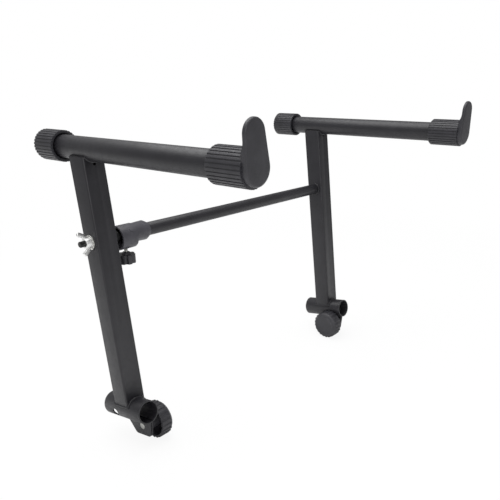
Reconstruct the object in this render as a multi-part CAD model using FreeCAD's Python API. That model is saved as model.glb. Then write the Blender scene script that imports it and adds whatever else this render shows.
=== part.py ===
import FreeCAD, Part
import math
import os

# Second-tier keyboard rack: two leaning arms that clamp onto the arms of a stand below, joined by a
# telescoping cross bar. Origin: centre of the left clamp's bore. +X to the right arm, +Y away from the
# player, +Z up. Millimetres. The right arm is the left arm mirrored.

# ---- layout ----
arm_spacing = 510.0          # left to right arm, centre to centre, closed up
arm_height = 366.0           # clamp bore axis to support bar axis
arm_lean = 42.0              # how far the upright's top stands behind its foot
pivot_height = 248.0         # cross bar axis above the clamp axis

# ---- support bar ----
bar_diameter = 30.0
bar_wall = 1.8
bar_length = 370.0
bar_rear_overhang = 86.0     # behind the upright's top

# ---- upright, a square tube ----
upright_width = 32.0
upright_wall = 2.0
upright_corner = 2.5
upright_reach = 6.0          # how far the coped top laps the bar's underside
drain_diameter = 5.0
drain_drop = 2.2             # notch centre below the bar's underside

# ---- clamp tube at the foot ----
held_tube_diameter = 30.0
clamp_clearance = 0.3
clamp_wall = 2.0
clamp_length = 84.0
clamp_pitch = 10.0           # degrees that the mouth stands above level, so the bars tip to the player
slit_width = 1.2
side_hole_diameter = 12.0
side_hole_from_rear = 26.0
side_hole_angle = 17.0       # degrees below level, on the outer side
relief_length = 21.0         # open underside at the rear, where the slit widens
relief_half_width = 8.0

# ---- clamp ears ----
ear_thickness = 2.2
ear_offset = 1.5             # outer ear's outer face to the bore's middle plane
ear_behind_bolt = 1.8        # the plates' middle to the bolt
ear_foot_half = 16.0         # half of the straight lower edge
ear_front_flare = 8.0        # how far the sloping front end runs out on its way up to the tube
ear_rear_flare = 19.0
ear_depth = 15.0             # below the bolt
ear_corner = 3.0

# ---- clamp bolt, M8 ----
m8_diameter = 8.0
m8_clearance = 0.2
stake_diameter = 10.0        # the bolt's staked end, outside the outer ear
stake_height = 1.0
clamp_bolt_end = 33.0        # the bolt's inner end to the bore's middle plane
bolt_behind_mouth = 24.5     # bolt axis behind the tube's front end
bolt_drop = 28.0             # below the bore's axis
m8_washer_diameter = 16.0
m8_washer_thickness = 1.6

# ---- clamp knob ----
knob_diameter = 54.0
knob_thickness = 21.0
knob_wall = 3.0
knob_face = 3.2
knob_hub_diameter = 20.0
knob_flutes = 22
flute_share = 0.5            # of one pitch that is rib
flute_depth = 1.0
knob_chamfer = 4.0
knob_gap_to_tube = 0.8
insert_diameter = 12.0
insert_length = 15.0
blind_gap = 1.5              # bolt end to the bottom of its blind hole
thread_clearance = 0.05

# ---- ribbed end caps ----
cap_diameter = 41.0
cap_ribs = 30
rib_flat = 0.8               # of a rib or groove that is flat, the rest slopes
rib_height = 0.8
rib_share = 0.62             # of one pitch that is rib
cap_end_wall = 3.0
cap_mouth_chamfer = 2.4
rear_cap_length = 43.0
mouth_recess_depth = 3.0
mouth_recess_width = 2.2
cap_end_chamfer = 1.0
stop_cap_length = 50.0
cap_running_clearance = 0.08

# ---- tongue of the front cap ----
tongue_low_radius = 18.0
tongue_top_radius = 15.0
tongue_height = 49.0         # top edge above the bar axis
tongue_root = 6.5            # stands proud of the ribbed sleeve
tongue_tip = 8.0
tongue_back_setback = 2.8
tongue_edge_round = 2.2
tongue_heel = 8.0            # height of the sloping back above the sleeve
left_cap_turn = 9.0          # the left cap sits turned outwards by this much, in degrees

# ---- cross bar ----
rod_diameter = 19.0
rod_wall = 1.5
slide_clearance = 0.05
inner_tube_wall = 1.5
pull_out_length = 180.0      # how far the right arm pulls out
overlap_length = 107.0       # of tube still inside the rod at full width

# ---- collar on the rod ----
collar_gap = 8.5             # collar to the left upright, closed up
collar_large_diameter = 34.0
collar_large_length = 25.0
collar_drop = 3.0            # the large end's centre below the rod's axis
collar_small_diameter = 28.0
collar_small_length = 20.5
collar_taper_length = 7.0
collar_taper_end = 20.6
collar_wall = 2.5
collar_web = 6.0
guide_clearance = 0.08
collar_edge = 0.8
pad_length = 8.0             # raised pad on the collar's upper front
pad_width = 5.0
pad_proud = 0.6
pad_tilt = 50.0
pad_from_shoulder = 3.0

# ---- thumb screw, M5 ----
m5_diameter = 5.0
m5_clearance = 0.2
thumb_from_mouth = 13.5
boss_diameter = 11.0
thumb_insert_diameter = 7.5
thumb_insert_length = 3.0
shoe_length = 2.0
shoe_gap = 0.3
thumb_knob_drop = 7.9        # knob's top below the collar
thumb_knob_diameter = 25.0
thumb_knob_height = 12.8
thumb_lobes = 7
lobe_depth = 2.2
thumb_knob_edge = 1.0
scoop_share = 0.62           # of each lobe's half width
thumb_hub_diameter = 10.0
thumb_hub_foot = 15.0
thumb_hub_height = 3.0
thumb_end_skin = 2.0

# ---- pivot at the left upright ----
pivot_clearance = 0.08
stud_proud = 17.0            # beyond the upright's outer face
stud_tip = 1.0
plug_flange_diameter = 22.0
plug_flange_thickness = 3.0
plug_spigot_length = 16.0
friction_washer_thickness = 1.0
face_clearance = 0.1         # between faces that turn on each other
wing_washer_diameter = 20.0
wing_washer_thickness = 1.6
wing_hub_diameter = 16.0
wing_hub_top_diameter = 13.5
wing_hub_height = 8.0
wing_tip_radius = 3.0
wing_tip_reach = 13.8        # tip centre from the stud's axis
wing_thickness = 3.6
wing_root_rise = 3.0         # wing's lower edge above the nut's base
wing_root_reach = 1.5        # and beyond its hub
wing_root_share = 0.6        # of the hub's top radius, where the lower edge starts
wing_saddle_share = 0.84     # of the same, where the upper edge starts
wing_tip_width = 0.8         # of the tip's radius, where the edges meet it
wing_tip_back = 0.6
wing_turn = 24.5             # degrees from upright, top wing towards the rear

# ---- worked out from the above ----
X_AXIS = FreeCAD.Vector(1, 0, 0)
Y_AXIS = FreeCAD.Vector(0, 1, 0)
Z_AXIS = FreeCAD.Vector(0, 0, 1)
ORIGIN = FreeCAD.Vector(0, 0, 0)
bar_radius = bar_diameter / 2
lean_angle = math.degrees(math.atan2(arm_lean, arm_height))
upright_length = math.hypot(arm_lean, arm_height)
half_width = upright_width / 2
bar_rear = arm_lean + bar_rear_overhang
bar_front = bar_rear - bar_length
clamp_bore_radius = held_tube_diameter / 2 + clamp_clearance
clamp_outer_radius = clamp_bore_radius + clamp_wall
clamp_front = -clamp_length / 2
clamp_rear = clamp_length / 2
bolt_y = clamp_front + bolt_behind_mouth
bolt_z = -bolt_drop
slit_x = ear_offset + ear_thickness
ear_inner = slit_x + slit_width + ear_thickness
pivot_y = arm_lean * pivot_height / arm_height
pivot = FreeCAD.Vector(0, pivot_y, pivot_height)
rod_radius = rod_diameter / 2
inner_tube_radius = rod_radius - rod_wall - slide_clearance
inner_bore_radius = inner_tube_radius - inner_tube_wall
collar_left = half_width + collar_gap
collar_shoulder = collar_left + collar_large_length
collar_right = collar_shoulder + collar_small_length + collar_taper_length
collar_large_radius = collar_large_diameter / 2
collar_small_radius = collar_small_diameter / 2
thumb_x = collar_left + thumb_from_mouth
collar_centre_z = pivot_height - collar_drop
collar_bottom = collar_centre_z - collar_large_radius
thumb_knob_top = collar_bottom - thumb_knob_drop
thumb_knob_bottom = thumb_knob_top - thumb_knob_height
plug_face = half_width + friction_washer_thickness + face_clearance
shoe_top = pivot_height - inner_tube_radius - shoe_gap


def at(x, y, z):
    return FreeCAD.Vector(x, y, z)


def cylinder(radius, start, length, axis):
    return Part.makeCylinder(radius, length, start, axis)


def tube(outer, inner, start, length, axis):
    return cylinder(outer, start, length, axis).cut(cylinder(inner, start, length, axis))


def box(low, high):
    size = high.sub(low)
    return Part.makeBox(size.x, size.y, size.z, low)


def prism(points, travel):
    return Part.Face(Part.makePolygon(points + [points[0]])).extrude(travel)


def revolved(profile, axis_point, axis):
    return Part.Face(Part.makePolygon(profile + [profile[0]])).revolve(axis_point, axis, 360)


def in_right_arm(shape):
    return shape.mirror(at(arm_spacing / 2, 0, 0), X_AXIS)


def fluted_disc(radius, depth, count, share, start, length, axis):
    # a disc or sleeve blank with raised ribs; share is the part of each pitch that is rib
    side = Y_AXIS if axis.x else X_AXIS
    up = axis.cross(side)
    points = []
    pitch = 2 * math.pi / count
    crest = pitch * share * rib_flat
    root = pitch * (1 - share) * rib_flat
    low = radius - depth
    for i in range(count):
        mid = i * pitch
        for angle, r in ((mid - crest / 2, radius), (mid + crest / 2, radius),
                         (mid + (pitch - root) / 2, low), (mid + (pitch + root) / 2, low)):
            points.append(start.add(side * (r * math.cos(angle))).add(up * (r * math.sin(angle))))
    return prism(points, axis * length)


def pitched(shape):
    # clamp pieces are drawn level, then tipped up at the mouth
    shape.rotate(ORIGIN, X_AXIS, -clamp_pitch)
    return shape


def chamfered_blank(radius, start, length, near, far, axis):
    # a solid of revolution with a chamfer at each end, to trim a fluted blank
    body = cylinder(radius, start.add(axis * near), length - near - far, axis)
    if near > 0:
        body = body.fuse(Part.makeCone(radius - near, radius, near, start, axis))
    if far > 0:
        body = body.fuse(Part.makeCone(radius, radius - far, far, start.add(axis * (length - far)), axis))
    return body


# ---- frame of one arm ----

def make_upright():
    low = at(-half_width, -half_width, 0)
    high = at(half_width, half_width, upright_length)
    outer = box(low, high)
    uprights = [e for e in outer.Edges if abs(e.tangentAt(e.FirstParameter).z) > 0.9]
    outer = outer.makeFillet(upright_corner, uprights)
    wall = at(upright_wall, upright_wall, 0)
    inner = box(low.add(wall), high.sub(wall))
    shape = outer.cut(inner)
    shape.rotate(ORIGIN, X_AXIS, -lean_angle)
    socket = cylinder(clamp_outer_radius, at(0, -clamp_length, 0), 2 * clamp_length, Y_AXIS)
    shape = shape.cut(pitched(socket))
    shape = shape.cut(cylinder(bar_radius, at(0, bar_front, arm_height), bar_length, Y_AXIS))
    keep_top = arm_height - bar_radius + upright_reach
    keep = box(at(-upright_width, -clamp_length, 0), at(upright_width, clamp_length + arm_lean, keep_top))
    shape = shape.common(keep)
    drain_z = arm_height - bar_radius - drain_drop
    drain_start = at(0, arm_lean * drain_z / arm_height, drain_z)
    return shape.cut(cylinder(drain_diameter / 2, drain_start, upright_width, -Y_AXIS))


def pivot_hole():
    start = pivot.sub(X_AXIS * upright_width)
    return cylinder(m8_diameter / 2 + pivot_clearance, start, 2 * upright_width, X_AXIS)


def make_bar():
    return tube(bar_radius, bar_radius - bar_wall, at(0, bar_front, arm_height), bar_length, Y_AXIS)


def make_clamp_tube():
    shape = tube(clamp_outer_radius, clamp_bore_radius, at(0, clamp_front, 0), clamp_length, Y_AXIS)
    under = -2 * clamp_outer_radius
    slit = box(at(slit_x, clamp_front, under), at(slit_x + slit_width, clamp_rear, 0))
    relief_low = at(-relief_half_width, clamp_rear - relief_length, under)
    relief = box(relief_low, at(relief_half_width, clamp_rear, 0))
    angle = math.radians(side_hole_angle)
    outwards = at(-math.cos(angle), 0, -math.sin(angle))
    centre = at(0, clamp_rear - side_hole_from_rear, 0)
    side_hole = cylinder(side_hole_diameter / 2, centre, 2 * clamp_outer_radius, outwards)
    return pitched(shape.cut(slit).cut(relief).cut(side_hole))


def make_ears():
    foot = bolt_z - ear_depth
    under = -clamp_outer_radius
    front = bolt_y + ear_behind_bolt - ear_foot_half
    rear = bolt_y + ear_behind_bolt + ear_foot_half
    top_front = front - ear_front_flare
    top_rear = rear + ear_rear_flare
    outline = [at(ear_offset, top_front, 0), at(ear_offset, top_front, under), at(ear_offset, front, foot),
               at(ear_offset, rear, foot), at(ear_offset, top_rear, under), at(ear_offset, top_rear, 0)]
    plate = prism(outline, X_AXIS * ear_thickness)
    corners = [e for e in plate.Edges if len(e.Vertexes) == 2 and abs(e.tangentAt(e.FirstParameter).x) > 0.9
               and e.Vertexes[0].Point.z < foot + ear_corner]
    plate = plate.makeFillet(ear_corner, corners)
    plate = plate.cut(cylinder(m8_diameter / 2 + m8_clearance, at(0, bolt_y, bolt_z), ear_inner, X_AXIS))
    inner = plate.translated(X_AXIS * (ear_thickness + slit_width))
    trim = cylinder(clamp_outer_radius, at(0, clamp_front, 0), clamp_length, Y_AXIS)
    return pitched(Part.makeCompound([plate.cut(trim), inner.cut(trim)]))


def make_clamp_bolt():
    start = at(ear_offset - stake_height, bolt_y, bolt_z)
    shank = cylinder(m8_diameter / 2, start, clamp_bolt_end - start.x, X_AXIS)
    return pitched(shank.fuse(cylinder(stake_diameter / 2, start, stake_height, X_AXIS)))


def make_clamp_washer():
    start = at(ear_inner, bolt_y, bolt_z)
    hole = m8_diameter / 2 + m8_clearance
    return pitched(tube(m8_washer_diameter / 2, hole, start, m8_washer_thickness, X_AXIS))


def make_knob():
    back = clamp_outer_radius + knob_gap_to_tube
    start = at(back, bolt_y, bolt_z)
    radius = knob_diameter / 2
    face_x = back + knob_thickness
    blank = fluted_disc(radius, flute_depth, knob_flutes, flute_share, start, knob_thickness, X_AXIS)
    blank = blank.common(chamfered_blank(radius, start, knob_thickness, 0, knob_chamfer, X_AXIS))
    hollow_radius = radius - flute_depth - knob_wall
    blank = blank.cut(cylinder(hollow_radius, start, knob_thickness - knob_face, X_AXIS))
    hub_start = at(ear_inner + m8_washer_thickness, bolt_y, bolt_z)
    hub = cylinder(knob_hub_diameter / 2, hub_start, face_x - knob_face / 2 - hub_start.x, X_AXIS)
    knob = blank.fuse(hub)
    knob = knob.cut(cylinder(insert_diameter / 2, hub_start, insert_length, X_AXIS))
    blind = clamp_bolt_end + blind_gap - hub_start.x
    return pitched(knob.cut(cylinder(m8_diameter / 2 + thread_clearance, hub_start, blind, X_AXIS)))


def make_knob_insert():
    start = at(ear_inner + m8_washer_thickness, bolt_y, bolt_z)
    hole = m8_diameter / 2 + thread_clearance
    return pitched(tube(insert_diameter / 2, hole, start, insert_length, X_AXIS))


# ---- ribbed end caps ----

def make_rear_cap():
    length = rear_cap_length
    mouth = at(0, bar_rear + cap_end_wall - length, arm_height)
    radius = cap_diameter / 2
    cap = fluted_disc(radius, rib_height, cap_ribs, rib_share, mouth, length, Y_AXIS)
    cap = cap.common(chamfered_blank(radius, mouth, length, 0, cap_end_chamfer, Y_AXIS))
    cap = cap.cut(cylinder(bar_radius, mouth, length - cap_end_wall, Y_AXIS))
    recess = Part.makeCone(bar_radius + mouth_recess_width, bar_radius, mouth_recess_depth, mouth, Y_AXIS)
    return cap.cut(recess)


def tongue_outline(y):
    # two round ends joined by their common tangents, in the plane at y
    rise = tongue_height - tongue_top_radius
    slope = math.asin((tongue_low_radius - tongue_top_radius) / rise)
    low = at(0, y, arm_height)
    top = at(0, y, arm_height + rise)
    side = at(math.cos(slope), 0, math.sin(slope))
    other = at(-math.cos(slope), 0, math.sin(slope))
    low_right = low.add(side * tongue_low_radius)
    top_right = top.add(side * tongue_top_radius)
    low_left = low.add(other * tongue_low_radius)
    top_left = top.add(other * tongue_top_radius)
    return Part.Wire([
        Part.LineSegment(low_right, top_right).toShape(),
        Part.Arc(top_right, top.add(Z_AXIS * tongue_top_radius), top_left).toShape(),
        Part.LineSegment(top_left, low_left).toShape(),
        Part.Arc(low_left, low.sub(Z_AXIS * tongue_low_radius), low_right).toShape(),
    ])


def make_stop_cap():
    end = bar_front - cap_end_wall
    sleeve_start = at(0, end, arm_height)
    radius = cap_diameter / 2
    sleeve = fluted_disc(radius, rib_height, cap_ribs, rib_share, sleeve_start, stop_cap_length, Y_AXIS)
    blank = chamfered_blank(radius, sleeve_start, stop_cap_length, 0, cap_mouth_chamfer, Y_AXIS)
    sleeve = sleeve.common(blank)
    plate = Part.Face(tongue_outline(end - 2 * tongue_tip)).extrude(Y_AXIS * (2 * tongue_tip + cap_end_wall))
    low_z = arm_height - radius
    sleeve_top = arm_height + radius
    top_z = arm_height + tongue_height
    over_z = top_z + tongue_edge_round
    side = [at(-radius, end + cap_end_wall, low_z), at(-radius, end - tongue_root, low_z),
            at(-radius, end - tongue_tip, over_z), at(-radius, end - tongue_back_setback, over_z),
            at(-radius, end - tongue_back_setback, sleeve_top + tongue_heel), at(-radius, end, sleeve_top),
            at(-radius, end + cap_end_wall, sleeve_top - rib_height)]
    plate = plate.common(prism(side, X_AXIS * (2 * radius)))
    rim = [e for e in plate.Edges if max(v.Point.y for v in e.Vertexes) < end - tongue_root / 2]
    plate = plate.makeFillet(tongue_edge_round, rim)
    cap = sleeve.fuse(plate)
    bore_radius = bar_radius + cap_running_clearance
    return cap.cut(cylinder(bore_radius, at(0, bar_front, arm_height), stop_cap_length, Y_AXIS))


# ---- cross bar and its collar ----

def make_rod():
    start = pivot.add(X_AXIS * (collar_left + collar_large_length))
    length = arm_spacing - half_width - start.x
    return tube(rod_radius, rod_radius - rod_wall, start, length, X_AXIS)


def make_inner_tube():
    start = plug_face + plug_flange_thickness
    end = collar_shoulder + pull_out_length + overlap_length
    return tube(inner_tube_radius, inner_bore_radius, pivot.add(X_AXIS * start), end - start, X_AXIS)


def around_pivot(points):
    return [at(x, pivot_y, pivot_height + r) for x, r in points]


def make_collar():
    small_end = collar_shoulder + collar_small_length
    web_start = collar_shoulder - collar_web
    outside = [(web_start, 0), (web_start, collar_small_radius - collar_edge),
               (collar_shoulder, collar_small_radius), (small_end, collar_small_radius),
               (collar_right, collar_taper_end / 2), (collar_right, 0)]
    low_centre = at(collar_left, pivot_y, collar_centre_z)
    radius = collar_large_radius
    large = chamfered_blank(radius, low_centre, collar_large_length, collar_edge, collar_edge, X_AXIS)
    collar = large.fuse(revolved(around_pivot(outside), pivot, X_AXIS))
    hollow = cylinder(radius - collar_wall, low_centre, web_start - collar_left, X_AXIS)
    collar = collar.cut(hollow)
    boss_start = at(thumb_x, pivot_y, collar_bottom)
    boss = cylinder(boss_diameter / 2, boss_start, shoe_top - collar_bottom, Z_AXIS)
    envelope = cylinder(radius - collar_edge, low_centre, collar_large_length, X_AXIS)
    collar = collar.fuse(boss.common(envelope))
    guide_radius = inner_tube_radius + guide_clearance
    guide = cylinder(guide_radius, pivot.add(X_AXIS * collar_left), collar_large_length, X_AXIS)
    collar = collar.cut(guide)
    rod_seat = pivot.add(X_AXIS * collar_shoulder)
    collar = collar.cut(cylinder(rod_radius, rod_seat, collar_right - collar_shoulder, X_AXIS))
    way_start = boss_start.sub(Z_AXIS * collar_edge)
    screw_way = cylinder(m5_diameter / 2 + m5_clearance, way_start, radius, Z_AXIS)
    insert_depth = thumb_insert_length + 2 * collar_edge
    collar = collar.cut(screw_way).cut(cylinder(thumb_insert_diameter / 2, way_start, insert_depth, Z_AXIS))
    pad_right = collar_shoulder - pad_from_shoulder
    pad_foot = collar_centre_z + radius - collar_wall / 2
    pad_low = at(pad_right - pad_length, pivot_y - pad_width / 2, pad_foot)
    pad_high = at(pad_right, pivot_y + pad_width / 2, collar_centre_z + radius + pad_proud)
    pad = box(pad_low, pad_high)
    pad.rotate(low_centre, X_AXIS, pad_tilt)
    return collar.fuse(pad)


def make_thumb_insert():
    start = at(thumb_x, pivot_y, collar_bottom + collar_edge)
    hole = m5_diameter / 2 + thread_clearance
    return tube(thumb_insert_diameter / 2, hole, start, thumb_insert_length, Z_AXIS)


def make_thumb_shoe():
    return cylinder(m5_diameter / 2, at(thumb_x, pivot_y, shoe_top - shoe_length), shoe_length, Z_AXIS)


def make_thumb_screw():
    low = thumb_knob_bottom + thumb_end_skin
    return cylinder(m5_diameter / 2, at(thumb_x, pivot_y, low), shoe_top - shoe_length - low, Z_AXIS)


def make_thumb_knob():
    centre = at(thumb_x, pivot_y, thumb_knob_bottom)
    radius = thumb_knob_diameter / 2
    knob = chamfered_blank(radius, centre, thumb_knob_height, thumb_knob_edge, thumb_knob_edge, Z_AXIS)
    scoop_radius = radius * math.sin(math.pi / thumb_lobes) * scoop_share
    scoop_reach = radius + scoop_radius - lobe_depth
    for i in range(thumb_lobes):
        a = 2 * math.pi * (i + 0.5) / thumb_lobes
        place = centre.add(at(scoop_reach * math.cos(a), scoop_reach * math.sin(a), 0))
        knob = knob.cut(cylinder(scoop_radius, place, thumb_knob_height, Z_AXIS))
    hub_start = centre.add(Z_AXIS * (thumb_knob_height - thumb_knob_edge))
    hub_length = thumb_hub_height + thumb_knob_edge
    hub = Part.makeCone(thumb_hub_foot / 2, thumb_hub_diameter / 2, hub_length, hub_start, Z_AXIS)
    knob = knob.fuse(hub)
    screw_height = thumb_knob_height + thumb_hub_height - thumb_end_skin
    return knob.cut(cylinder(m5_diameter / 2, centre.add(Z_AXIS * thumb_end_skin), screw_height, Z_AXIS))


# ---- pivot at the left upright ----

def make_friction_washer():
    start = pivot.add(X_AXIS * half_width)
    hole = m8_diameter / 2 + pivot_clearance
    return tube(plug_flange_diameter / 2, hole, start, friction_washer_thickness, X_AXIS)


def make_tube_plug():
    start = pivot.add(X_AXIS * plug_face)
    flange = cylinder(plug_flange_diameter / 2, start, plug_flange_thickness, X_AXIS)
    spigot = cylinder(inner_bore_radius, start, plug_flange_thickness + plug_spigot_length, X_AXIS)
    through = cylinder(m8_diameter / 2, start, plug_flange_thickness + plug_spigot_length, X_AXIS)
    return flange.fuse(spigot).cut(through)


def make_pivot_stud():
    start = -half_width - stud_proud
    end = plug_face + plug_flange_thickness + plug_spigot_length
    tip = pivot.add(X_AXIS * start)
    return chamfered_blank(m8_diameter / 2, tip, end - start, stud_tip, stud_tip / 2, X_AXIS)


def make_wing_washer():
    start = pivot.sub(X_AXIS * (half_width + wing_washer_thickness))
    hole = m8_diameter / 2 + m8_clearance
    return tube(wing_washer_diameter / 2, hole, start, wing_washer_thickness, X_AXIS)


def make_wing_nut():
    base = -half_width - wing_washer_thickness
    hub_radius = wing_hub_diameter / 2
    hub_top_radius = wing_hub_top_diameter / 2
    nut = Part.makeCone(hub_radius, hub_top_radius, wing_hub_height, pivot.add(X_AXIS * base), -X_AXIS)
    tip_x = -half_width - stud_proud + wing_tip_radius
    r = wing_tip_radius
    root_reach = hub_top_radius * wing_root_share
    saddle_reach = hub_top_radius * wing_saddle_share
    for side in (1, -1):
        tip = at(tip_x, pivot_y, pivot_height + side * wing_tip_reach)
        outline = [at(base - wing_root_rise / 2, pivot_y, pivot_height + side * root_reach),
                   at(base - wing_root_rise, pivot_y, pivot_height + side * (hub_radius + wing_root_reach)),
                   at(tip_x + r, pivot_y, tip.z + side * r * wing_tip_width),
                   at(tip_x - r * wing_tip_back, pivot_y, tip.z + side * r * wing_tip_width),
                   at(tip_x - r * wing_tip_width, pivot_y, tip.z - side * r * wing_tip_back),
                   at(base - wing_hub_height, pivot_y, pivot_height + side * saddle_reach)]
        wing = prism(outline, Y_AXIS * wing_thickness).translated(-Y_AXIS * (wing_thickness / 2))
        knuckle = cylinder(wing_tip_radius, tip.sub(Y_AXIS * (wing_thickness / 2)), wing_thickness, Y_AXIS)
        nut = nut.fuse(wing.fuse(knuckle))
    hole = cylinder(m8_diameter / 2 + thread_clearance, pivot.add(X_AXIS * base), stud_proud, -X_AXIS)
    nut = nut.cut(hole)
    nut.rotate(pivot, X_AXIS, -wing_turn)
    return nut


# ---- the whole rack ----

left_arm = {
    "support_bar": make_bar(),
    "rear_cap": make_rear_cap(),
    "clamp_tube": make_clamp_tube(),
    "clamp_ears": make_ears(),
    "clamp_bolt": make_clamp_bolt(),
    "clamp_washer": make_clamp_washer(),
    "clamp_knob": make_knob(),
    "knob_insert": make_knob_insert(),
}
nodes = {}
for name, shape in left_arm.items():
    nodes["left_" + name] = shape
    nodes["right_" + name] = in_right_arm(shape)

upright = make_upright()
nodes["left_upright"] = upright.cut(pivot_hole())
nodes["right_upright"] = in_right_arm(upright)

stop_cap = make_stop_cap()
turned_cap = stop_cap.copy()
turned_cap.rotate(at(0, 0, arm_height), Y_AXIS, -left_cap_turn)
nodes["left_stop_cap"] = turned_cap
nodes["right_stop_cap"] = in_right_arm(stop_cap)

nodes["cross_rod"] = make_rod()
nodes["inner_tube"] = make_inner_tube()
nodes["tube_plug"] = make_tube_plug()
nodes["pivot_stud"] = make_pivot_stud()
nodes["friction_washer"] = make_friction_washer()
nodes["rod_collar"] = make_collar()
nodes["collar_insert"] = make_thumb_insert()
nodes["thumb_shoe"] = make_thumb_shoe()
nodes["thumb_screw"] = make_thumb_screw()
nodes["thumb_knob"] = make_thumb_knob()
nodes["wing_washer"] = make_wing_washer()
nodes["wing_nut"] = make_wing_nut()

os.makedirs("parts", exist_ok=True)
for name, shape in nodes.items():
    shape.exportStep("parts/" + name + ".step")
    print(name, "solids", len(shape.Solids), "valid", shape.isValid(), "volume", round(shape.Volume, 1))
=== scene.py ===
import math
import bmesh
import bpy
from mathutils import Matrix, Vector


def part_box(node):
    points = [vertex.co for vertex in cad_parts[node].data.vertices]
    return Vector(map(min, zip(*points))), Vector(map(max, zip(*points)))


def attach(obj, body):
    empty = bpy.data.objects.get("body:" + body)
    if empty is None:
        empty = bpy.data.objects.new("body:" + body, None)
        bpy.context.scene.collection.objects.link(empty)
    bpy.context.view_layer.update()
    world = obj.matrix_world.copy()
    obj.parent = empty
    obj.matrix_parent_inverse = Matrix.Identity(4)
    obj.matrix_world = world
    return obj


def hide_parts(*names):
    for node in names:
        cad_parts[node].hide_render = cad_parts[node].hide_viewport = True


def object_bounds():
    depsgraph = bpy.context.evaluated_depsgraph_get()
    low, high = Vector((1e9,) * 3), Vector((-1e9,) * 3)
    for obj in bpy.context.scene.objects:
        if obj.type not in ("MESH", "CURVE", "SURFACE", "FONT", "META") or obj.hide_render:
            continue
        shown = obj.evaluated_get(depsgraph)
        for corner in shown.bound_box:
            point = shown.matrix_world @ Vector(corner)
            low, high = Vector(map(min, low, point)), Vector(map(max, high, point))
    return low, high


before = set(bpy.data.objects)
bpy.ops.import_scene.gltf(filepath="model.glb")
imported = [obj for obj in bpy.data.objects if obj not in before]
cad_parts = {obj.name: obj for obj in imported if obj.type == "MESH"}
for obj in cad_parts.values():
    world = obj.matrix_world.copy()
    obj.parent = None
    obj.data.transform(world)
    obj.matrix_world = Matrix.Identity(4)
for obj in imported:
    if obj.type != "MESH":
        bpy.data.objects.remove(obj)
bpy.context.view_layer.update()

mm = 0.001
hair = 0.01 * mm    # places nearer than this count as one
sliver = 0.1 * mm    # how closely points and edges are looked for
spare = 1 * mm    # how far a cutter starts outside what it cuts


# picking and shaping

def selectOnly(piece):
    bpy.ops.object.select_all(action="DESELECT")
    bpy.context.view_layer.objects.active = piece
    piece.select_set(True)


def openEdit(piece):
    selectOnly(piece)
    bpy.ops.object.mode_set(mode="EDIT")
    bpy.ops.mesh.select_all(action="DESELECT")


def closeEdit():
    bpy.ops.object.mode_set(mode="OBJECT")


def pick(piece, kind, test):
    # selects the points, edges or faces that pass a test, in edit mode
    bpy.ops.mesh.select_mode(type=kind)
    bpy.ops.mesh.select_all(action="DESELECT")
    shape = bmesh.from_edit_mesh(piece.data)
    for item in {"VERT": shape.verts, "EDGE": shape.edges, "FACE": shape.faces}[kind]:
        if test(item):
            item.select_set(True)
    shape.select_flush_mode()
    bmesh.update_edit_mesh(piece.data)


def edgeMiddle(edge):
    return (edge.verts[0].co + edge.verts[1].co) / 2


def useModifier(piece, kind, **settings):
    selectOnly(piece)
    added = piece.modifiers.new(kind, kind)
    for key, value in settings.items():
        setattr(added, key, value)
    bpy.ops.object.modifier_apply(modifier=added.name)
    return piece


def soften(piece, width, segments=2, angle=32):
    # small rounded edges, then smooth faces between them
    useModifier(piece, "BEVEL", width=width, segments=segments, limit_method="ANGLE",
                angle_limit=math.radians(angle), use_clamp_overlap=True, miter_outer="MITER_ARC")
    selectOnly(piece)
    bpy.ops.object.shade_smooth_by_angle(angle=math.radians(angle))
    return piece


def carve(piece, cutter, operation="DIFFERENCE"):
    useModifier(piece, "BOOLEAN", object=cutter, operation=operation, solver="EXACT")
    bpy.data.objects.remove(cutter, do_unlink=True)
    return piece


def weldTogether(name, pieces):
    selectOnly(pieces[0])
    for piece in pieces[1:]:
        piece.select_set(True)
    bpy.ops.object.join()
    pieces[0].name = name
    return pieces[0]


def moveMesh(piece, matrix):
    piece.data.transform(matrix)
    if matrix.determinant() < 0:
        piece.data.flip_normals()
    piece.data.update()
    return piece


def copyOf(piece, name, matrix=Matrix()):
    twin = piece.copy()
    twin.data = piece.data.copy()
    twin.name = name
    bpy.context.collection.objects.link(twin)
    return moveMesh(twin, matrix)


def pointing(direction, origin):
    # turns a piece made along +Z to face direction, with its foot at origin
    turn = {"+X": Matrix.Rotation(math.pi / 2, 4, "Y"), "-X": Matrix.Rotation(-math.pi / 2, 4, "Y"),
            "+Y": Matrix.Rotation(-math.pi / 2, 4, "X"), "-Y": Matrix.Rotation(math.pi / 2, 4, "X"),
            "+Z": Matrix(), "-Z": Matrix.Rotation(math.pi, 4, "X")}[direction]
    return Matrix.Translation(Vector(origin)) @ turn


def turned(name, profile, sides, place, closed=False):
    # a ring carried along a profile of (distance, radius), as on a lathe; an open one is capped at both ends
    bpy.ops.object.select_all(action="DESELECT")
    bpy.ops.mesh.primitive_circle_add(vertices=sides, radius=profile[0][1])
    piece = bpy.context.object
    piece.name = name
    bpy.ops.object.mode_set(mode="EDIT")
    bpy.ops.mesh.select_mode(type="VERT")
    bpy.ops.mesh.select_all(action="SELECT")
    bpy.ops.transform.translate(value=(0, 0, profile[0][0]))
    if not closed:
        bpy.ops.mesh.edge_face_add()
        bpy.ops.mesh.select_mode(type="EDGE")
    stops = profile + profile[:1] if closed else profile
    for (fromHeight, fromRadius), (height, radius) in zip(stops, stops[1:]):
        bpy.ops.mesh.extrude_edges_move(TRANSFORM_OT_translate={"value": (0, 0, height - fromHeight)})
        scale = radius / fromRadius
        bpy.ops.transform.resize(value=(scale, scale, 1), center_override=(0, 0, height))
    if not closed:
        bpy.ops.mesh.edge_face_add()
    bpy.ops.mesh.select_all(action="SELECT")
    bpy.ops.mesh.remove_doubles(threshold=1e-6)
    bpy.ops.mesh.normals_make_consistent(inside=False)
    closeEdit()
    return moveMesh(piece, place)


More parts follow.
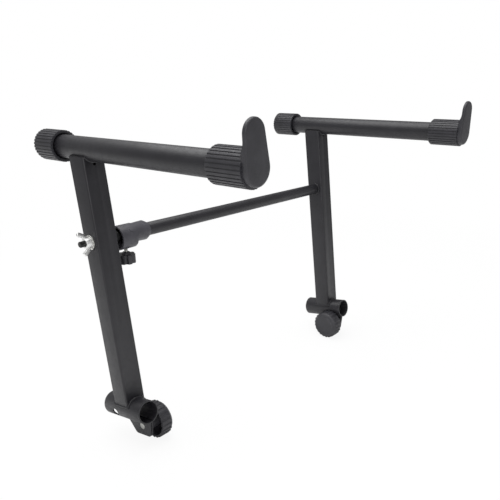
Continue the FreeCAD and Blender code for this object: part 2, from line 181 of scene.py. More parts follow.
def block(name, low, high):
    bpy.ops.object.select_all(action="DESELECT")
    low, high = Vector(low), Vector(high)
    bpy.ops.mesh.primitive_cube_add(size=1, location=(low + high) / 2, scale=high - low)
    bpy.ops.object.transform_apply(location=True, rotation=True, scale=True)
    bpy.context.object.name = name
    return bpy.context.object


def raiseRibs(piece, ribs, share, height, radius):
    # every rib is a strip of side faces pushed outwards; the piece still stands along +Z
    pitch = 2 * math.pi / ribs

    def onRib(face):
        middle = face.calc_center_median()
        across = math.atan2(middle.y, middle.x) % pitch / pitch
        return abs(face.normal.z) < 0.1 and math.hypot(middle.x, middle.y) > radius * 0.985 and across < share

    openEdit(piece)
    pick(piece, "FACE", onRib)
    bpy.ops.mesh.extrude_region_shrink_fatten(TRANSFORM_OT_shrink_fatten={"value": height})
    closeEdit()
    return piece


def bead(name, points, size, looped=True):
    # a weld bead along a path, with the ripples that the puddle leaves
    bpy.ops.object.select_all(action="DESELECT")
    line = bpy.data.curves.new(name, "CURVE")
    line.dimensions = "3D"
    line.bevel_depth = size
    line.bevel_resolution = 4
    path = line.splines.new("POLY")
    path.points.add(len(points) - 1)
    path.use_cyclic_u = looped
    for i, (spot, point) in enumerate(zip(path.points, points)):
        spot.co = (*point, 1)
        spot.radius = 1 + 0.10 * math.sin(i * 2.1) + 0.07 * math.sin(i * 0.73 + 1)
    piece = bpy.data.objects.new(name, line)
    bpy.context.collection.objects.link(piece)
    selectOnly(piece)
    bpy.ops.object.convert(target="MESH")
    bpy.ops.object.shade_smooth()
    return bpy.context.object


def alongPath(corners, step):
    # evenly spaced points along straight runs between corners
    points = []
    for start, end in zip(corners, corners[1:]):
        start, end = Vector(start), Vector(end)
        count = max(1, round((end - start).length / step))
        points += [start.lerp(end, i / count) for i in range(count)]
    return points


# finishes

def newFinish(name, base, roughness, metallic=0.0):
    finish = bpy.data.materials.new(name)
    finish.use_nodes = True
    shader = finish.node_tree.nodes["Principled BSDF"]
    shader.inputs["Metallic"].default_value = metallic
    shader.inputs["Base Color"].default_value = (*base, 1)
    shader.inputs["Roughness"].default_value = roughness
    return finish, finish.node_tree.nodes, finish.node_tree.links, shader


def noiseOf(nodes, links, scale, detail=3.0, stretch=(1, 1, 1)):
    place = nodes.new("ShaderNodeTexCoord")
    shift = nodes.new("ShaderNodeMapping")
    shift.inputs["Scale"].default_value = stretch
    noise = nodes.new("ShaderNodeTexNoise")
    noise.inputs["Scale"].default_value = scale
    noise.inputs["Detail"].default_value = detail
    links.new(place.outputs["Object"], shift.inputs["Vector"])
    links.new(shift.outputs["Vector"], noise.inputs["Vector"])
    return noise


def vary(nodes, links, noise, low, high, target):
    # noise spread over a range of greys or colours, into a socket of the shader
    ramp = nodes.new("ShaderNodeValToRGB")
    ramp.color_ramp.elements[0].position = 0.3
    ramp.color_ramp.elements[1].position = 0.7
    for element, tone in zip(ramp.color_ramp.elements, (low, high)):
        element.color = (*tone, 1) if isinstance(tone, tuple) else (tone, tone, tone, 1)
    links.new(noise.outputs["Fac"], ramp.inputs["Fac"])
    links.new(ramp.outputs["Color"], target)


def grain(nodes, links, shader, layers):
    # bumps laid over each other: (noise, strength, depth in metres)
    before = None
    for noise, strength, depth in layers:
        bump = nodes.new("ShaderNodeBump")
        bump.inputs["Strength"].default_value = strength
        bump.inputs["Distance"].default_value = depth
        links.new(noise.outputs["Fac"], bump.inputs["Height"])
        if before:
            links.new(before.outputs["Normal"], bump.inputs["Normal"])
        before = bump
    links.new(before.outputs["Normal"], shader.inputs["Normal"])


powderCoatLook = {"dark": (0.0115, 0.0110, 0.0140), "light": (0.0175, 0.0168, 0.0210), "gloss": (0.40, 0.50),
                  "peelScale": 900, "peelDepth": 0.05 * mm}


def makePowderCoat():
    look = powderCoatLook
    finish, nodes, links, shader = newFinish("blackPowderCoat", look["dark"], 0.4)
    cloud = noiseOf(nodes, links, 35)
    vary(nodes, links, cloud, look["dark"], look["light"], shader.inputs["Base Color"])
    vary(nodes, links, noiseOf(nodes, links, 160), *look["gloss"], shader.inputs["Roughness"])
    peel = noiseOf(nodes, links, look["peelScale"], 2)
    dust = noiseOf(nodes, links, look["peelScale"] * 4, 2)
    grain(nodes, links, shader, [(peel, 0.35, look["peelDepth"]), (dust, 0.2, look["peelDepth"] / 3)])
    return finish


mouldedLook = {"dark": (0.0225, 0.0220, 0.0265), "light": (0.033, 0.0322, 0.0385), "gloss": (0.42, 0.55),
               "grainScale": 2200}


def makeMouldedPlastic(name, lift=1.0):
    look = mouldedLook
    dark = tuple(lift * part for part in look["dark"])
    light = tuple(lift * part for part in look["light"])
    finish, nodes, links, shader = newFinish(name, dark, 0.5)
    vary(nodes, links, noiseOf(nodes, links, 60), dark, light, shader.inputs["Base Color"])
    vary(nodes, links, noiseOf(nodes, links, 220), *look["gloss"], shader.inputs["Roughness"])
    fine = noiseOf(nodes, links, look["grainScale"], 2)
    grain(nodes, links, shader, [(fine, 0.3, 0.03 * mm)])
    return finish


def makeMetal(name, dark, light, gloss, scale, stretch=(1, 1, 1), depth=0.02 * mm):
    finish, nodes, links, shader = newFinish(name, dark, 0.3, 1.0)
    vary(nodes, links, noiseOf(nodes, links, scale, 4, stretch), dark, light, shader.inputs["Base Color"])
    vary(nodes, links, noiseOf(nodes, links, scale * 2.3, 4, stretch), *gloss, shader.inputs["Roughness"])
    grain(nodes, links, shader, [(noiseOf(nodes, links, scale * 5, 3, stretch), 0.25, depth)])
    return finish


powderCoat = makePowderCoat()
ribbedPlastic = makeMouldedPlastic("ribbedCapPlastic")
knobPlastic = makeMouldedPlastic("knobPlastic")
collarPlastic = makeMouldedPlastic("collarPlastic", 2.0)
nylon = makeMouldedPlastic("nylon", 1.4)
zinc = makeMetal("zincPlate", (0.50, 0.50, 0.48), (0.68, 0.68, 0.66), (0.24, 0.40), 240)
castZinc = makeMetal("brightCastZinc", (0.80, 0.80, 0.79), (0.90, 0.90, 0.89), (0.36, 0.46), 300,
                     depth=0.006 * mm)
# the clamp bolt's zinc is a darker copy of the zinc plate: painted shade, for a bolt end that sits mostly in
# shade; it is also rougher, with deeper bumps
shadedBoltZinc = makeMetal("clampBoltZinc", (0.30, 0.30, 0.29), (0.46, 0.46, 0.44), (0.34, 0.52), 420,
                     depth=0.05 * mm)
tubeSteel = makeMetal("blackTubeSteel", (0.035, 0.035, 0.036), (0.055, 0.055, 0.057), (0.3, 0.45), 200,
                      (0.05, 1, 1))
blackSteel = makeMetal("blackOxide", (0.03, 0.03, 0.03), (0.06, 0.06, 0.06), (0.3, 0.45), 300)
brass = makeMetal("turnedBrass", (0.55, 0.40, 0.18), (0.68, 0.52, 0.26), (0.25, 0.4), 260)
print("finishes ready")


# where things are, read from the frame

barLow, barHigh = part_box("left_support_bar")
rightLow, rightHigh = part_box("right_support_bar")
rodLow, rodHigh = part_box("cross_rod")
boltLow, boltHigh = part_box("left_clamp_bolt")
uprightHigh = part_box("left_upright")[1]
armSpacing = (rightLow.x + rightHigh.x) / 2
barRadius = (barHigh.x - barLow.x) / 2
barHeight = (barLow.z + barHigh.z) / 2
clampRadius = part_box("left_clamp_tube")[1].x
clampPitch = math.radians(10)    # the clamp's mouth stands above level
tipUp = Matrix.Rotation(-clampPitch, 4, "X")
pivot = Vector((0, (rodLow.y + rodHigh.y) / 2, (rodLow.z + rodHigh.z) / 2))
rodRadius = (rodHigh.z - rodLow.z) / 2
halfWidth = uprightHigh.x
lean = math.atan2(pivot.y, pivot.z)
boltPlace = tipUp.inverted() @ ((boltLow + boltHigh) / 2)    # in the clamp's own level frame
boltY, boltZ = boltPlace.y, boltPlace.z
sides = 96
acrossArms = Matrix.Translation((armSpacing, 0, 0)) @ Matrix.Scale(-1, 4, Vector((1, 0, 0)))


def settle(piece, finish, body, slotName, *nodes):
    # gives a piece its finish, the body that carries it and the solids that it stands for
    piece.data.materials.clear()
    piece.data.materials.append(finish)
    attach(piece, body)
    if nodes:
        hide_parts(*nodes)
    return piece


def bothArms(piece, finish, body, slotName, node):
    # the left arm's piece and its mirror image on the right arm; body and node start with the side
    side = {"left": piece, "right": copyOf(piece, "right" + piece.name[4:], acrossArms)}
    for name, each in side.items():
        settle(each, finish, name + body, slotName, *([name + node] if node else []))
    return side


# support bars and their ribbed caps

barShape = {"wall": 1.8 * mm, "edge": 0.3 * mm}


def makeBar():
    inner = barRadius - barShape["wall"]
    length = barHigh.y - barLow.y
    profile = [(0, inner), (0, barRadius), (length, barRadius), (length, inner)]
    place = pointing("+Y", (0, barLow.y, barHeight))
    return soften(turned("leftBar", profile, sides, place, closed=True), barShape["edge"])


capShape = {"radius": 20.45 * mm, "ribs": 30, "stripsPerRib": 8, "share": 0.62, "rib": 0.8 * mm,
            "edge": 0.22 * mm, "wall": 3 * mm, "mouthDepth": 3 * mm, "mouthWidth": 2.2 * mm,
            "endChamfer": 1.0 * mm, "rearChamfer": 2.2 * mm, "boreGap": 0.08 * mm}


def ribbedSleeve(name, length, bore, mouth, chamferAt, chamfer):
    # a cup with its closed end at distance 0 and its mouth at length, ribbed all along
    shape = capShape
    root = shape["radius"] - shape["rib"]
    profile = [(shape["wall"], bore), (length - shape["mouthDepth"] * (mouth > 0), bore)]
    if mouth:
        profile += [(length, bore + mouth)]
    profile += [(length, root), (length - chamfer, root), (chamfer, root), (0, root)]
    sleeve = turned(name, profile, shape["ribs"] * shape["stripsPerRib"], Matrix())
    raiseRibs(sleeve, shape["ribs"], shape["share"], shape["rib"], root)
    end = 0 if chamferAt == "closedEnd" else length
    openEdit(sleeve)    # one end of the ribs is drawn in to a chamfer
    pick(sleeve, "VERT", lambda v: abs(v.co.z - end) < hair and math.hypot(v.co.x, v.co.y) > root - sliver)
    drawn = (shape["radius"] - chamfer) / shape["radius"]
    bpy.ops.transform.resize(value=(drawn, drawn, 1), center_override=(0, 0, end))
    closeEdit()
    return sleeve


def makeRearCap():
    low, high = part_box("left_rear_cap")
    shape = capShape
    cap = ribbedSleeve("leftRearCap", high.y - low.y, barRadius, shape["mouthWidth"], "closedEnd",
                       shape["endChamfer"])
    moveMesh(cap, pointing("-Y", (0, high.y, barHeight)))
    return soften(cap, shape["edge"])


tongueShape = {"lowRadius": 18 * mm, "topRadius": 15 * mm, "height": 49 * mm, "root": 6.5 * mm, "tip": 8 * mm,
               "sunk": 1 * mm, "back": 2.8 * mm, "heel": 10.5 * mm, "heelDrop": 0.2 * mm, "hollow": 2.4,
               "frontRound": 2.6 * mm, "backRound": 1.1 * mm, "squareOn": 0.55, "sides": 144, "rows": 9}


def makeTongue(sleeveEnd):
    # a thick disc on the bar's axis: its upper half is drawn up, and its back hollowed down to the sleeve
    shape = tongueShape
    bottom, depth = sleeveEnd + shape["sunk"], shape["root"] + shape["sunk"]
    bpy.ops.object.select_all(action="DESELECT")
    bpy.ops.mesh.primitive_cylinder_add(vertices=shape["sides"], radius=shape["lowRadius"], depth=depth,
                                        location=(0, bottom - depth / 2, 0), rotation=(math.pi / 2, 0, 0))
    bpy.ops.object.transform_apply(location=True, rotation=True, scale=True)
    tongue = bpy.context.object
    rise = shape["height"] - shape["topRadius"]
    tangent = math.asin((shape["lowRadius"] - shape["topRadius"]) / rise)
    openEdit(tongue)
    pick(tongue, "VERT", lambda v: v.co.z > shape["lowRadius"] * math.sin(tangent * 0.75))
    shrink = shape["topRadius"] / shape["lowRadius"]
    bpy.ops.transform.resize(value=(shrink, 1, shrink), center_override=(0, 0, 0))
    bpy.ops.transform.translate(value=(0, 0, rise))
    # the front leans out towards the top
    front = bottom - depth
    pick(tongue, "VERT", lambda v: v.co.y < front + sliver)
    leanOut = math.atan2(shape["tip"] - shape["root"], shape["height"] + shape["lowRadius"])
    bpy.ops.transform.rotate(value=-leanOut, orient_axis="X", center_override=(0, front, -shape["lowRadius"]))
    heelStart = capShape["radius"] - shape["heelDrop"]
    heights = [heelStart + shape["heel"] * i / shape["rows"] for i in range(shape["rows"] + 1)]
    for height in heights:
        bpy.ops.mesh.select_all(action="SELECT")
        bpy.ops.mesh.bisect(plane_co=(0, 0, height), plane_no=(0, 0, 1))
    # the back eases from the sleeve's end face up to the thin blade, one row after the other
    for i, height in enumerate(heights):
        ease = 1 - (1 - i / shape["rows"]) ** shape["hollow"]
        topmost = i == shape["rows"]
        pick(tongue, "VERT", lambda v: v.co.y > bottom - sliver and v.co.z > height - hair
             and (topmost or v.co.z < height + hair))
        bpy.ops.transform.translate(value=(0, sleeveEnd - ease * shape["back"] - bottom, 0))

    def onRim(edge, atFront):
        faces = edge.link_faces
        if len(faces) != 2:
            return False
        flat = [abs(f.normal.y) > shape["squareOn"] for f in faces]
        isFront = [f.normal.y < -shape["squareOn"] for f in faces]
        return flat[0] != flat[1] and any(isFront) == atFront

    pick(tongue, "EDGE", lambda e: onRim(e, True))
    bpy.ops.mesh.bevel(offset=shape["frontRound"], segments=6, profile=0.5, clamp_overlap=True)
    pick(tongue, "EDGE", lambda e: onRim(e, False) and edgeMiddle(e).z > heelStart)
    bpy.ops.mesh.bevel(offset=shape["backRound"], segments=4, profile=0.5, clamp_overlap=True)
    bpy.ops.mesh.select_all(action="SELECT")
    bpy.ops.mesh.remove_doubles(threshold=hair)
    closeEdit()
    selectOnly(tongue)
    bpy.ops.object.shade_smooth_by_angle(angle=math.radians(40))
    return tongue


stopTurn = {"left": -9.0, "right": 0}    # degrees; the left cap sits a little turned outwards


def makeStopCap(side):
    end = barLow.y - capShape["wall"]
    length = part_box(side + "_stop_cap")[1].y - end
    sleeve = ribbedSleeve(side + "StopSleeve", length, barRadius + capShape["boreGap"], 0, "mouth",
                          capShape["rearChamfer"])
    moveMesh(sleeve, pointing("+Y", (0, end, 0)))
    soften(sleeve, capShape["edge"])
    cap = weldTogether(side + "StopCap", [makeTongue(end), sleeve])
    turn = Matrix.Rotation(math.radians(stopTurn[side]), 4, "Y")
    across = armSpacing if side == "right" else 0
    return moveMesh(cap, Matrix.Translation((across, 0, barHeight)) @ turn)


bothArms(makeBar(), powderCoat, "_arm", "powder_coat", "_support_bar")
bothArms(makeRearCap(), ribbedPlastic, "_arm", "ribbed_plastic", "_rear_cap")
for side in ("left", "right"):
    settle(makeStopCap(side), ribbedPlastic, side + "_stop", "ribbed_plastic", side + "_stop_cap")
print("bars and caps done")


# uprights

uprightShape = {"corner": 2.8 * mm, "cornerSegments": 5, "edge": 0.35 * mm, "notch": 5 * mm,
                "notchDrop": 2.2 * mm, "notchStart": 3 * mm, "notchDepth": 8 * mm}


def makeUpright():
    shape = uprightShape
    length = uprightHigh.z * 1.2    # both ends are trimmed below
    post = block("leftUpright", (-halfWidth, -halfWidth, 0), (halfWidth, halfWidth, length))
    openEdit(post)
    pick(post, "EDGE", lambda e: abs(e.verts[0].co.z - e.verts[1].co.z) > length / 2)
    bpy.ops.mesh.bevel(offset=shape["corner"], segments=shape["cornerSegments"], profile=0.5)
    closeEdit()
    moveMesh(post, Matrix.Rotation(-lean, 4, "X"))
    reach = 0.3    # well past the post on both sides
    barCut = turned("barCut", [(0, barRadius), (reach, barRadius)], sides,
                    pointing("+Y", (0, -reach / 2, barHeight)))
    clampCut = turned("clampCut", [(0, clampRadius), (reach, clampRadius)], sides,
                      tipUp @ pointing("+Y", (0, -reach / 2, 0)))
    keep = block("keep", (-0.05, -0.1, -0.01), (0.05, 0.15, uprightHigh.z))
    carve(post, keep, "INTERSECT")
    carve(post, barCut)
    carve(post, clampCut)
    openEdit(post)    # the ends that dipped below the clamp tube go
    bpy.ops.mesh.select_all(action="SELECT")
    bpy.ops.mesh.separate(type="LOOSE")
    closeEdit()
    parts = list(bpy.context.selected_objects)
    post = max(parts, key=lambda o: o.dimensions.z)
    for part in parts:
        if part != post:
            bpy.data.objects.remove(part, do_unlink=True)
    post.name = "leftUpright"
    notchHeight = barHeight - barRadius - shape["notchDrop"]
    notchY = notchHeight * math.tan(lean) - halfWidth
    notch = turned("notch", [(0, shape["notch"] / 2), (shape["notchDepth"], shape["notch"] / 2)], 32,
                   pointing("+Y", (0, notchY - shape["notchStart"], notchHeight)))
    carve(post, notch)
    return soften(post, shape["edge"])


beadShape = {"size": 1.5 * mm, "step": 0.9 * mm, "proud": 0.3 * mm, "topReach": 12 * mm,
             "footInset": 0.4 * mm, "earSize": 1.1 * mm, "earProud": 0.2 * mm, "earInset": 0.4 * mm,
             "earFront": 2.5 * mm, "earRear": 3 * mm, "rodSize": 1.3 * mm, "rodPoints": 72}


def copePath(radius, centreHeight, sign, reachX, pitch, tilt):
    # round the four walls of a post leaning by tilt, where they meet a tube along Y
    points = []
    steps = max(8, round(2 * reachX / pitch))
    for face in (-1, 1):
        for i in range(steps + 1):
            x = face * reachX * (2 * i / steps - 1)
            z = centreHeight + sign * math.sqrt(radius ** 2 - x ** 2)
            points.append(Vector((x, z * math.tan(tilt) + face * halfWidth / math.cos(tilt), z)))
    front, rear = points[:steps + 1], points[steps + 1:]
    there, back = alongPath([front[-1], rear[0]], pitch), alongPath([rear[-1], front[0]], pitch)
    return front + there[1:] + rear + back[1:]


def makeUprightBeads():
    shape = beadShape
    size, step, proud = shape["size"], shape["step"], shape["proud"]
    topPath = copePath(barRadius + proud, barHeight, -1, shape["topReach"], step, lean)
    footPath = copePath(clampRadius + proud, 0, 1, halfWidth - shape["footInset"], step, lean - clampPitch)
    return [bead("leftTopWeld", topPath, size), moveMesh(bead("leftFootWeld", footPath, size), tipUp)]


bothArms(makeUpright(), powderCoat, "_arm", "powder_coat", "_upright")
for weld in makeUprightBeads():
    bothArms(weld, powderCoat, "_arm", "powder_coat", None)
print("uprights done")


# clamp tubes and ears

clampShape = {"length": 84 * mm, "bore": 15.3 * mm, "slitLow": 3.7 * mm, "slitHigh": 4.9 * mm,
              "cutTop": -5 * mm, "cutFoot": -30 * mm, "relief": 21 * mm, "reliefHalf": 8 * mm,
              "hole": 6 * mm, "holeFromRear": 26 * mm, "holeAngle": 17, "edge": 0.3 * mm}
clampFront, clampRear = -clampShape["length"] / 2, clampShape["length"] / 2


def makeClampTube():
    shape = clampShape
    length, bore = shape["length"], shape["bore"]
    profile = [(0, bore), (0, clampRadius), (length, clampRadius), (length, bore)]
    tube = turned("leftClampTube", profile, sides, pointing("+Y", (0, clampFront, 0)), closed=True)
    carve(tube, block("slit", (shape["slitLow"], clampFront - spare, shape["cutFoot"]),
                      (shape["slitHigh"], clampRear + spare, shape["cutTop"])))
    carve(tube, block("relief", (-shape["reliefHalf"], clampRear - shape["relief"], shape["cutFoot"]),
                      (shape["reliefHalf"], clampRear + spare, shape["cutTop"])))
    aim = Matrix.Rotation(-math.pi / 2 - math.radians(shape["holeAngle"]), 4, "Y")
    hole = turned("hole", [(0, shape["hole"]), (0.03, shape["hole"])], 48, aim)
    moveMesh(hole, Matrix.Translation((0, clampRear - shape["holeFromRear"], 0)))
    carve(tube, hole)
    return moveMesh(soften(tube, shape["edge"]), tipUp)


earShape = {"thickness": 2.2 * mm, "outer": 1.5 * mm, "inner": 4.9 * mm, "middle": boltY + 1.8 * mm,
            "footHalf": 16 * mm, "flare": {-1: 8 * mm, 1: 19 * mm}, "depth": 15 * mm, "sunk": 1.2 * mm,
            "corner": 3 * mm, "edge": 0.4 * mm}


def makeEar(name, left):
    # a flat plate hanging from the tube; its ends slope out on their way up
    shape = earShape
    middle, half = shape["middle"], shape["footHalf"]
    foot = boltZ - shape["depth"]
    right = left + shape["thickness"]
    top = -math.sqrt((clampRadius - shape["sunk"]) ** 2 - right ** 2)
    plate = block(name, (left, middle - half, foot), (right, middle + half, top))
    openEdit(plate)
    for end in (-1, 1):
        pick(plate, "VERT", lambda v: v.co.z > top - sliver and (v.co.y - middle) * end > 0)
        bpy.ops.transform.translate(value=(0, end * shape["flare"][end], 0))
    pick(plate, "EDGE", lambda e: edgeMiddle(e).z < foot + sliver
         and abs(e.verts[0].co.x - e.verts[1].co.x) > shape["thickness"] / 2)
    bpy.ops.mesh.bevel(offset=shape["corner"], segments=6, profile=0.5)
    closeEdit()
    return soften(plate, shape["edge"])


def makeEars():
    ears = [makeEar("outerEar", earShape["outer"]), makeEar("innerEar", earShape["inner"])]
    return moveMesh(weldTogether("leftEars", ears), tipUp)


def makeEarBeads():
    shape, weld = earShape, beadShape
    front = shape["middle"] - shape["footHalf"] - shape["flare"][-1] + weld["earFront"]
    rear = shape["middle"] + shape["footHalf"] + shape["flare"][1] - weld["earRear"]
    beads = []
    for name, x in (("leftOuterEarWeld", shape["outer"] - weld["earInset"]),
                    ("leftInnerEarWeld", shape["inner"] + shape["thickness"] + weld["earInset"])):
        z = -math.sqrt((clampRadius + weld["earProud"]) ** 2 - x ** 2)
        run = alongPath([(x, front, z), (x, rear, z)], weld["step"])
        beads.append(moveMesh(bead(name, run, weld["earSize"], looped=False), tipUp))
    return beads


bothArms(makeClampTube(), powderCoat, "_arm", "powder_coat", "_clamp_tube")
bothArms(makeEars(), powderCoat, "_arm", "powder_coat", "_clamp_ears")
for weld in makeEarBeads():
    bothArms(weld, powderCoat, "_arm", "powder_coat", None)
print("clamps done")


# clamp bolt, washer and knob

boltShape = {"radius": 4 * mm, "stake": 5 * mm, "stakeHeight": 1 * mm, "tip": 0.6 * mm, "edge": 0.1 * mm,
             "dome": ((0, 0.35), (0.12, 0.6), (0.4, 0.88), (0.75, 1), (1, 1)),    # shares of each
             "washerGap": 0.2 * mm, "washerEdge": 0.2 * mm}


def makeClampBolt():
    # the outer end is hammered over into a low dome
    shape = boltShape
    radius, tip = shape["radius"], shape["tip"]
    length = boltHigh.x - boltLow.x
    profile = [(shape["stakeHeight"] * up, shape["stake"] * out) for up, out in shape["dome"]]
    profile += [(shape["stakeHeight"], radius), (length - tip, radius), (length, radius - tip)]
    bolt = turned("leftClampBolt", profile, 60, pointing("+X", (boltLow.x, boltY, boltZ)))
    return moveMesh(soften(bolt, shape["edge"]), tipUp)


def makeClampWasher():
    low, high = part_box("left_clamp_washer")
    outer = (high.z - low.z) / 2
    inner = boltShape["radius"] + boltShape["washerGap"]
    profile = [(0, inner), (0, outer), (high.x - low.x, outer), (high.x - low.x, inner)]
    washer = turned("leftClampWasher", profile, 72, pointing("+X", (low.x, boltY, boltZ)), closed=True)
    return moveMesh(soften(washer, boltShape["washerEdge"]), tipUp)


knobShape = {"radius": 27 * mm, "flutes": 22, "stripsPerFlute": 8, "ridge": 0.5, "fluteDepth": 1.0 * mm,
             "face": 3.2 * mm, "wall": 3.0 * mm, "hub": 10 * mm, "hubEdge": 0.6 * mm, "hubTaper": 0.8 * mm,
             "rimGap": 0.8 * mm, "chamfer": 4.0 * mm, "chamferIn": 0.8, "dish": 0.5 * mm, "dishTop": 8 * mm,
             "dishFoot": 8.8 * mm, "insertBore": 6 * mm, "insertDepth": 15 * mm, "boltBore": 4.05 * mm,
             "boltRoom": 1.5 * mm, "edge": 0.4 * mm}


def makeClampKnob():
    # a hollow-backed hand wheel: fluted rim, flat face, hub in the middle of the back
    shape = knobShape
    low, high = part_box("left_clamp_knob")
    root = shape["radius"] - shape["fluteDepth"]
    rimBack = clampRadius + shape["rimGap"] - low.x
    length = high.x - low.x
    inner = root - shape["wall"]
    hub = shape["hub"]
    hollow = length - shape["face"]
    profile = [(0, hub - shape["hubEdge"]), (shape["hubEdge"], hub), (hollow, hub + shape["hubTaper"]),
               (hollow, inner), (rimBack, inner), (rimBack, root), (length - shape["chamfer"], root),
               (length, root - shape["chamfer"] * shape["chamferIn"]), (length, root - shape["dishTop"]),
               (length - shape["dish"], root - shape["dishFoot"])]
    knob = turned("leftClampKnob", profile, shape["flutes"] * shape["stripsPerFlute"], Matrix())
    raiseRibs(knob, shape["flutes"], shape["ridge"], shape["fluteDepth"], root)
    onBolt = pointing("+X", (low.x, boltY, boltZ))
    moveMesh(knob, onBolt)
    insert, depth = shape["insertBore"], shape["insertDepth"]
    carve(knob, turned("bore", [(-spare, insert), (depth, insert)], 48, onBolt))
    way, deepEnd = shape["boltBore"], boltHigh.x + shape["boltRoom"] - low.x
    carve(knob, turned("deep", [(depth - spare, way), (deepEnd, way)], 48, onBolt))
    return moveMesh(soften(knob, shape["edge"]), tipUp)


bothArms(makeClampBolt(), shadedBoltZinc, "_arm", "zinc_plate", "_clamp_bolt")
bothArms(makeClampWasher(), zinc, "_knob_washer", "zinc_plate", "_clamp_washer")
bothArms(makeClampKnob(), knobPlastic, "_knob", "knob_plastic", "_clamp_knob")
print("clamp knobs done")


# cross bar: rod, inner tube, plug

tubeShape = {"wall": 1.5 * mm, "edge": 0.2 * mm, "plugBore": 4 * mm, "plugRadius": 6.4 * mm,
             "plugEdge": 0.3 * mm}


def onBar(x):
    # stands a turned piece on the cross bar's axis, from x on
    return pointing("+X", (x, pivot.y, pivot.z))


def makeTube(name, node):
    low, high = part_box(node)
    radius, length = (high.z - low.z) / 2, high.x - low.x
    inner = radius - tubeShape["wall"]
    profile = [(0, inner), (0, radius), (length, radius), (length, inner)]
    return soften(turned(name, profile, sides, onBar(low.x), closed=True), tubeShape["edge"])


def makeRodBead():
    count, proud = beadShape["rodPoints"], beadShape["proud"]
    radius = rodRadius + proud
    turns = [2 * math.pi * i / count for i in range(count)]
    ring = [(rodHigh.x - proud, pivot.y + radius * math.cos(turn), pivot.z + radius * math.sin(turn))
            for turn in turns]
    return bead("rodWeld", ring, beadShape["rodSize"])


def makePlug():
    low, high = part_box("tube_plug")
    bore, stem = tubeShape["plugBore"], tubeShape["plugRadius"]
    radius, length = (high.z - low.z) / 2, high.x - low.x
    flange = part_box("inner_tube")[0].x - low.x
    profile = [(0, bore), (0, radius), (flange, radius), (flange, stem), (length, stem), (length, bore)]
    return soften(turned("tubePlug", profile, 72, onBar(low.x), closed=True), tubeShape["plugEdge"])


settle(makeTube("crossRod", "cross_rod"), powderCoat, "right_arm", "powder_coat", "cross_rod")
settle(makeRodBead(), powderCoat, "right_arm", "powder_coat")
settle(makeTube("innerTube", "inner_tube"), tubeSteel, "cross_tube", "tube_steel", "inner_tube")
settle(makePlug(), tubeSteel, "cross_tube", "tube_steel", "tube_plug")
print("cross bar done")


# collar and thumb screw

collarShape = {"bigRadius": 17 * mm, "bigLength": 25 * mm, "drop": 3 * mm, "smallRadius": 14 * mm,
               "smallSpread": 1 * mm, "smallLength": 20.5 * mm, "endRadius": 10.3 * mm, "wall": 2.5 * mm,
               "web": 6 * mm, "guide": 8.03 * mm, "edge": 0.6 * mm, "seatEnd": 60 * mm,
               "padLong": 8 * mm, "padWide": 5 * mm, "padProud": 0.6 * mm, "padSunk": 2 * mm, "padTilt": 50,
               "padGap": 3 * mm, "padEdge": 0.3 * mm, "insert": 3.75 * mm, "insertDepth": 9 * mm,
               "boss": 5.5 * mm, "bossUp": 0.6 * mm, "bossEdge": 0.2 * mm}


def makeCollar():
    # the wide mouth sits low, so that its top runs on into the narrow end's
    shape = collarShape
    low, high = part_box("rod_collar")
    big, bigLength, small = shape["bigRadius"], shape["bigLength"], shape["smallRadius"]
    webStart = bigLength - shape["web"]
    bore, guide, insert, boss = big - shape["wall"], shape["guide"], shape["insert"], shape["boss"]
    lowCentre = pivot.z - shape["drop"]
    onRod = onBar(low.x)
    around = pointing("+X", (low.x, pivot.y, lowCentre))
    collar = turned("rodCollar", [(0, big), (bigLength, big)], sides, around)
    taper = [(webStart, small - shape["smallSpread"]), (bigLength + shape["smallLength"], small),
             (high.x - low.x, shape["endRadius"])]
    narrow = turned("narrow", taper, sides, onRod)
    carve(collar, narrow, "UNION")
    carve(collar, turned("hollow", [(-spare, bore), (webStart, bore)], sides, around))
    carve(collar, turned("guide", [(webStart - spare, guide), (bigLength + spare, guide)], sides, onRod))
    carve(collar, turned("seat", [(bigLength, rodRadius), (shape["seatEnd"], rodRadius)], sides, onRod))
    screwX = sum(corner.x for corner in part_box("thumb_screw")) / 2
    carve(collar, turned("insertHole", [(0, insert), (shape["insertDepth"], insert)], 48,
                         pointing("+Z", (screwX, pivot.y, lowCentre - big - spare))))
    soften(collar, shape["edge"], segments=3)
    right = low.x + bigLength - shape["padGap"]
    wide = shape["padWide"] / 2
    pad = block("pad", (right - shape["padLong"], pivot.y - wide, lowCentre + big - shape["padSunk"]),
                (right, pivot.y + wide, lowCentre + big + shape["padProud"]))
    soften(pad, shape["padEdge"])
    centre = Matrix.Translation((0, pivot.y, lowCentre))
    moveMesh(pad, centre @ Matrix.Rotation(math.radians(shape["padTilt"]), 4, "X") @ centre.inverted())
    ring = turned("boss", [(0, insert), (0, boss), (boss, boss), (boss, insert)], 48,
                  pointing("+Z", (screwX, pivot.y, lowCentre - big + shape["bossUp"])), closed=True)
    soften(ring, shape["bossEdge"])
    return weldTogether("rodCollar", [collar, pad, ring])


threadShape = {"depth": 0.55, "flank": 0.44, "crest": 0.12, "steps": 36}    # shares of the pitch


